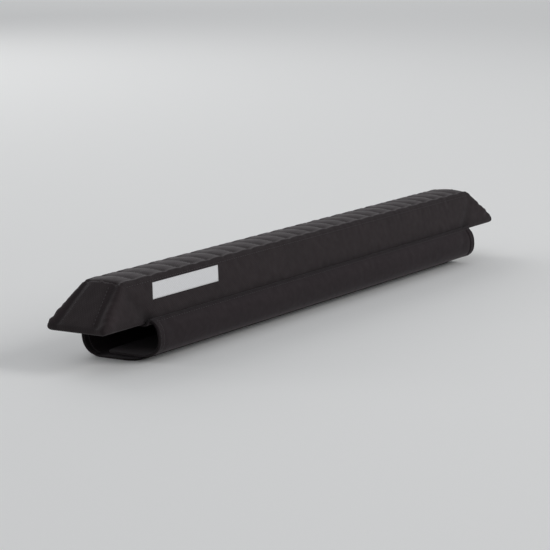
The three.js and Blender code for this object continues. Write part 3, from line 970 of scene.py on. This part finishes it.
def flap_curves(f, lap_z):
    """The curves from a flap's seam over its fold and shoulder, round the bar's edge and to the lap."""
    out, up = Vector((1, 0, 0)), Vector((0, 1, 0))
    seam = Vector((SIDE - f.seam_inset, BASE_Z - LAYER_GAP - FLAP_THICK / 2, 0))
    crease = Vector((SIDE + LAYER_GAP + FLAP_THICK / 2 + TUCK_GAP, BASE_Z + f.tuck_rise, 0))
    shoulder = crease + Vector((f.fold_width, f.fold_drop, 0))
    front = Vector((BAR_WIDTH / 2 + BAR_CLEARANCE + FLAP_THICK / 2,
                    PANEL_LOW.z - BAR_CLEARANCE - BAR_THICKNESS / 2, 0))
    lap = Vector((LAP_START, lap_z, 0))
    over_front = front + up * (shoulder.y - front.y) * f.roundness
    under_front = front - up * (front.y - lap.y) * f.roundness
    return [
        (seam, seam + out * f.seam_inset, crease - up * f.seam_inset, crease),
        (crease, crease + up * f.fold_pull, shoulder - SHOULDER_SLOPE * f.fold_pull, shoulder),
        (shoulder, shoulder + SHOULDER_SLOPE * f.shoulder_pull, over_front, front),
        (front, under_front, lap + out * (front.x - lap.x) * f.fullness, lap),
    ]


def corner_gap(radius, distance):
    """How far a rounded corner stands back from the straight edge, at a distance from its start."""
    return radius - sqrt(radius ** 2 - (radius - distance) ** 2)


class WrappedFlap:
    """A flap's middle line in the Y-Z plane, and the places on it that its cloth's shape depends on."""

    def __init__(self, f, side, lap_z, reach):
        self.f, self.side = f, side
        self.half = TIP - f.setback
        curves = flap_curves(f, lap_z)
        points = [curves[0][0] - Vector((f.seam_margin, 0, 0))]
        ends = []
        for curve in curves:
            points += interpolate_bezier(*curve, CURVE_POINTS)
            ends.append(len(points) - 1)
        points.append(Vector((-reach, lap_z, 0)))
        run = run_lengths(points)
        self.total = run[-1]
        self.crest = (run[ends[0]] + run[ends[1]]) / 2
        self.lap = run[ends[3]]
        steps = round(self.total / LINE_STEP)
        self.line = []
        for i in range(steps + 1):
            k, t = locate(run, self.total * i / steps)
            p = points[k].lerp(points[k + 1], t)
            self.line.append(Vector((0, side * p.x, p.y)))
        self.outs = []
        for i in range(steps + 1):
            tangent = (self.line[min(i + 1, steps)] - self.line[max(i - 1, 0)]).normalized()
            self.outs.append(Vector((0, -tangent.z, tangent.y)) * side)

    def half_length(self, s):
        """It flares into the fold at the notch, and its free corners are round."""
        f = self.f
        from_fold, to_edge = max(s - self.crest, 0.0), max(self.total - s, 0.0)
        if from_fold < f.notch_radius:
            return self.half + corner_gap(f.notch_radius, from_fold)
        if to_edge < f.corner_radius:
            return self.half - corner_gap(f.corner_radius, to_edge)
        return self.half

    def relief(self, x, s):
        """How far the hem, tension folds and puckers push the cloth outwards. The lap lies flat."""
        f = self.f
        from_end, below = self.half - abs(x), s - self.crest
        flat = ramp(s, self.lap - FLAT_BEFORE_LAP[0], self.lap - FLAT_BEFORE_LAP[1])
        loose = ramp(below, 0.0, LOOSE_AFTER_FOLD) * (1 - flat)
        hem = f.hem_thick * ramp(f.hem_width - from_end, -HEM_EDGE, HEM_EDGE)
        sag = noise.noise(Vector((x / FLAP_SAG_SIZE[0], s / FLAP_SAG_SIZE[1], FLAP_SAG_SLICE * self.side)))
        slice_z = FLAP_PUCKER_SLICE * self.side
        pucker = noise.noise(Vector((x / FLAP_PUCKER_SIZE[0], s / FLAP_PUCKER_SIZE[1], slice_z)))
        near_fold = bell(below - FLAP_PUCKER_BELOW, FLAP_PUCKER_REACH)
        pull = bell(from_end - FLAP_PULL_FROM_END - FLAP_PULL_SLANT * below, FLAP_PULL_WIDTH)
        pull *= bell(below - FLAP_PULL_BELOW, FLAP_PULL_REACH)
        sewn = bell(from_end - f.hem_width - SEWN_PAST_HEM, SEWN_WIDTH)
        move = hem + f.sag_height * sag + f.pucker_height * pucker * near_fold
        return loose * (move - f.pull_depth * pull - f.sewn_depth * sewn)

    def rub_and_painted_light(self, x, s, push):
        """Above 0 in a painted highlight on the shoulder and where the cloth bulges out and is rubbed, and
        below 0 in painted shade in the crease, at the ends and in pulled folds.
        """
        below, from_end = s - self.crest, self.half - abs(x)
        # Painted highlight on the shoulder below the fold; painted shade in the crease and at the end edges
        rubbed = SHOULDER_HIGHLIGHT * bell(below - SHOULDER_BELOW, SHOULDER_REACH)
        hollow = FOLD_SHADE * bell(below, FOLD_SHADE_REACH)
        hollow += END_SHADE * bell(from_end - END_SHADE_PLACE, END_SHADE_REACH)
        return rubbed - hollow + push / RUB_AND_SHADE_PUSH

    def place(self, x, s, lift):
        """A point of the wrapped cloth and its outward direction. x and s are places on the flat cloth."""
        at = min(max(s / self.total, 0.0), 1.0) * (len(self.line) - 1)
        i = min(floor(at), len(self.line) - 2)
        out = self.outs[i].lerp(self.outs[i + 1], at - i).normalized()
        point = self.line[i].lerp(self.line[i + 1], at - i) + out * lift
        return point + Vector((x * self.half_length(s) / self.half, 0, 0)), out

    def surface(self, x, s):
        """A point on the outside of the folded cloth and its outward direction."""
        return self.place(x, s, FLAP_THICK / 2 + self.relief(x, s))


def wrapped_patch(bm, flap, x_places, s_places, lift, thick, folds=True):
    """Cuts a flat patch of cloth, wraps it round the bar, and gives it its thickness."""
    patch = bmesh.new()
    middle = Vector(((x_places[0] + x_places[-1]) / 2, (s_places[0] + s_places[-1]) / 2, 0))
    size = Matrix.Diagonal(((x_places[-1] - x_places[0]) / 2, (s_places[-1] - s_places[0]) / 2, 1, 1))
    place = Matrix.Translation(middle) @ size
    bmesh.ops.create_grid(patch, x_segments=1, y_segments=1, size=1.0, matrix=place)
    slice_evenly(patch, 0, x_places[1:-1])
    slice_evenly(patch, 1, s_places[1:-1])
    uv = patch.loops.layers.uv.new("weave")
    rub_and_painted_light = patch.verts.layers.float.new("rub_and_painted_light")
    for face in patch.faces:
        for loop in face.loops:
            loop[uv].uv = loop.vert.co.xy
    for v in patch.verts:
        x, s = v.co.x, v.co.y
        push = flap.relief(x, s) if folds else 0.0
        v[rub_and_painted_light] = flap.rub_and_painted_light(x, s, push)
        v.co = flap.place(x, s, lift + push)[0]
    if flap.side < 0:
        bmesh.ops.reverse_faces(patch, faces=patch.faces[:])
    patch.normal_update()
    bmesh.ops.solidify(patch, geom=patch.faces[:], thickness=thick)
    mesh = bpy.data.meshes.new("patch")
    patch.to_mesh(mesh)
    patch.free()
    bm.from_mesh(mesh)
    bpy.data.meshes.remove(mesh)


def flap_cloth_mesh(flap):
    """The flap with the folded layer of its hems."""
    f = flap.f
    ends = [flap.half - cut for cut in HEM_CUTS]
    x_places = [-x for x in ends] + spread(-ends[-1], ends[-1], PATCH_X_STEP) + ends[::-1]
    tight = (flap.crest - FOLD_BEFORE, flap.crest + FOLD_AFTER)
    s_places = [0.0] + spread(0.0, tight[0], SEAM_STEP) + [tight[0]]
    s_places += spread(*tight, FOLD_STEP) + [tight[1]]
    s_places += spread(tight[1], flap.total, PATCH_STEP) + [flap.total]
    bm = bmesh.new()
    wrapped_patch(bm, flap, x_places, s_places, FLAP_THICK / 2, FLAP_THICK)
    layer_from, layer_to = flap.crest + f.notch_radius, flap.lap - HEM_LAYER_SHORT
    layer_s = [layer_from] + spread(layer_from, layer_to, PATCH_STEP) + [layer_to]
    layer_thick = f.hem_thick * HEM_LAYER_SHARE
    for end in (-1, 1):
        layer_x = sorted(end * (flap.half - cut) for cut in HEM_LAYER_CUTS)
        wrapped_patch(bm, flap, layer_x, layer_s, -FLAP_THICK / 2, layer_thick, folds=False)
    return bm


def flap_stitches(flap):
    """Two rows at each hem and one under the fold."""
    bm = bmesh.new()
    for end in (-1, 1):
        for inset in HEM_ROWS:
            x = end * (flap.half - inset)
            places = spread(flap.crest + HEM_ROW_AFTER_FOLD, flap.lap - HEM_ROW_BEFORE_LAP, HEM_ROW_STEP)
            stitch_row(bm, [flap.surface(x, s) for s in places])
    places = spread(-flap.half, flap.half, LONG_ROW_STEP)
    stitch_row(bm, [flap.surface(x, flap.crest + FOLD_ROW_AFTER) for x in places])
    return bm


class PAD_OT_flaps(Operator):
    """Make the two flaps that wrap the bar"""
    bl_idname = "pad.flaps"
    bl_label = "Flaps"

    def execute(self, context):
        f, colours = context.scene.flap_sizes, context.scene.pad_colours
        cloth, thread = flap_cloth(colours), spun_thread(colours)
        front = WrappedFlap(f, 1, FRONT_LOW.z + FLAP_THICK / 2, -FRONT_LOW.y)
        rear = WrappedFlap(f, -1, REAR_LOW.z + FLAP_THICK / 2, REAR_HIGH.y)
        for node, flap in (("front_flap", front), ("rear_flap", rear)):
            piece = finish_piece(node + "_cloth", flap_cloth_mesh(flap), cloth, [node])
            rows = finish_piece(node + "_stitches", flap_stitches(flap), thread)
        return {"FINISHED"}


class PAD_OT_lining(Operator):
    """Give the base panel and the closure their materials, and sew the panel in"""
    bl_idname = "pad.lining"
    bl_label = "Panel and closure"

    def execute(self, context):
        colours = context.scene.pad_colours
        dress_node("base_panel", panel_cloth(colours))
        dress_node("loop_strip", loop_pile(colours))
        dress_node("hook_strip", hook_tape(colours))
        bm = bmesh.new()
        x, y = PANEL_HIGH.x - PANEL_ROW_INSETS[0], PANEL_HIGH.y - PANEL_ROW_INSETS[1]
        z = PANEL_LOW.z + PANEL_ROW_LIFT
        for side in (-1, 1):
            long_row = [Vector((place, side * y, z)) for place in spread(-x, x, PANEL_ROW_STEPS[0])]
            short_row = [Vector((side * x, place, z)) for place in spread(-y, y, PANEL_ROW_STEPS[1])]
            stitch_row(bm, [(point, DOWN) for point in long_row])
            stitch_row(bm, [(point, DOWN) for point in short_row])
        finish_piece("panel_stitches", bm, spun_thread(colours))
        return {"FINISHED"}


# The studio

def add_floor(scene):
    """A level floor just under the part."""
    bm = bmesh.new()
    level = Matrix.Translation((0, 0, CAD_BOX[0][2] - FLOOR_GAP))
    bmesh.ops.create_grid(bm, x_segments=1, y_segments=1, size=FLOOR_REACH, matrix=level)
    mesh = bpy.data.meshes.new("floor")
    bm.to_mesh(mesh)
    bm.free()
    mesh.materials.append(studio_floor(scene.pad_colours))
    piece = bpy.data.objects.new("floor", mesh)
    scene.collection.objects.link(piece)


def add_lamps(scene):
    """Softboxes that all point at the pad, and an even light from the room."""
    for name, place, size, watts in LAMPS:
        data = bpy.data.lights.new(name, "AREA")
        data.size = size
        data.energy = watts
        lamp = bpy.data.objects.new(name, data)
        lamp.location = place
        lamp.rotation_euler = (TARGET - Vector(place)).to_track_quat("-Z", "Y").to_euler()
        scene.collection.objects.link(lamp)
    world = bpy.data.worlds.new("studio")
    world.use_nodes = True
    background = world.node_tree.nodes["Background"]
    background.inputs["Color"].default_value = WORLD_COLOUR
    background.inputs["Strength"].default_value = WORLD_STRENGTH
    scene.world = world
    scene.view_settings.view_transform = "Standard"


def add_camera(scene):
    """Stands as far off as the photograph's camera did, with a longer lens."""
    data = bpy.data.cameras.new("camera")
    level = cos(CAMERA_RISE)
    away = Vector((cos(CAMERA_BEARING) * level, sin(CAMERA_BEARING) * level, sin(CAMERA_RISE)))
    data.sensor_width = SENSOR_WIDTH
    data.lens = SENSOR_WIDTH * CAMERA_DISTANCE / CAMERA_WIDTH
    data.clip_end = CAMERA_FAR
    camera = bpy.data.objects.new("camera", data)
    camera.location = CAMERA_TARGET + away * CAMERA_DISTANCE
    camera.rotation_euler = (-away).to_track_quat("-Z", "Y").to_euler()
    scene.collection.objects.link(camera)
    scene.camera = camera


class PAD_OT_stage(Operator):
    """Make the floor, the lamps and the camera"""
    bl_idname = "pad.stage"
    bl_label = "Studio"

    def execute(self, context):
        add_floor(context.scene)
        add_lamps(context.scene)
        add_camera(context.scene)
        return {"FINISHED"}


class PAD_PT_panel(Panel):
    """Buttons that make the pad, piece by piece"""
    bl_label = "Roof Bar Pad"
    bl_space_type = "VIEW_3D"
    bl_region_type = "UI"
    bl_category = "Pad"

    def draw(self, context):
        for step in STEPS:
            self.layout.operator(step.bl_idname)


STEPS = (PAD_OT_stage, PAD_OT_cover, PAD_OT_flaps, PAD_OT_lining)
GROUPS = {"pad_sizes": PadSizes, "fold_sizes": FoldSizes, "flap_sizes": FlapSizes, "pad_colours": PadColours}


def register():
    for cls in (*GROUPS.values(), *STEPS, PAD_PT_panel):
        bpy.utils.register_class(cls)
    for name, cls in GROUPS.items():
        setattr(bpy.types.Scene, name, PointerProperty(type=cls))


def unregister():
    for name in GROUPS:
        delattr(bpy.types.Scene, name)
    for cls in reversed((*GROUPS.values(), *STEPS, PAD_PT_panel)):
        bpy.utils.unregister_class(cls)


def main():
    register()
    for step in STEPS:
        group, name = step.bl_idname.split(".")
        getattr(getattr(bpy.ops, group), name)()


if __name__ == "__main__":
    main()
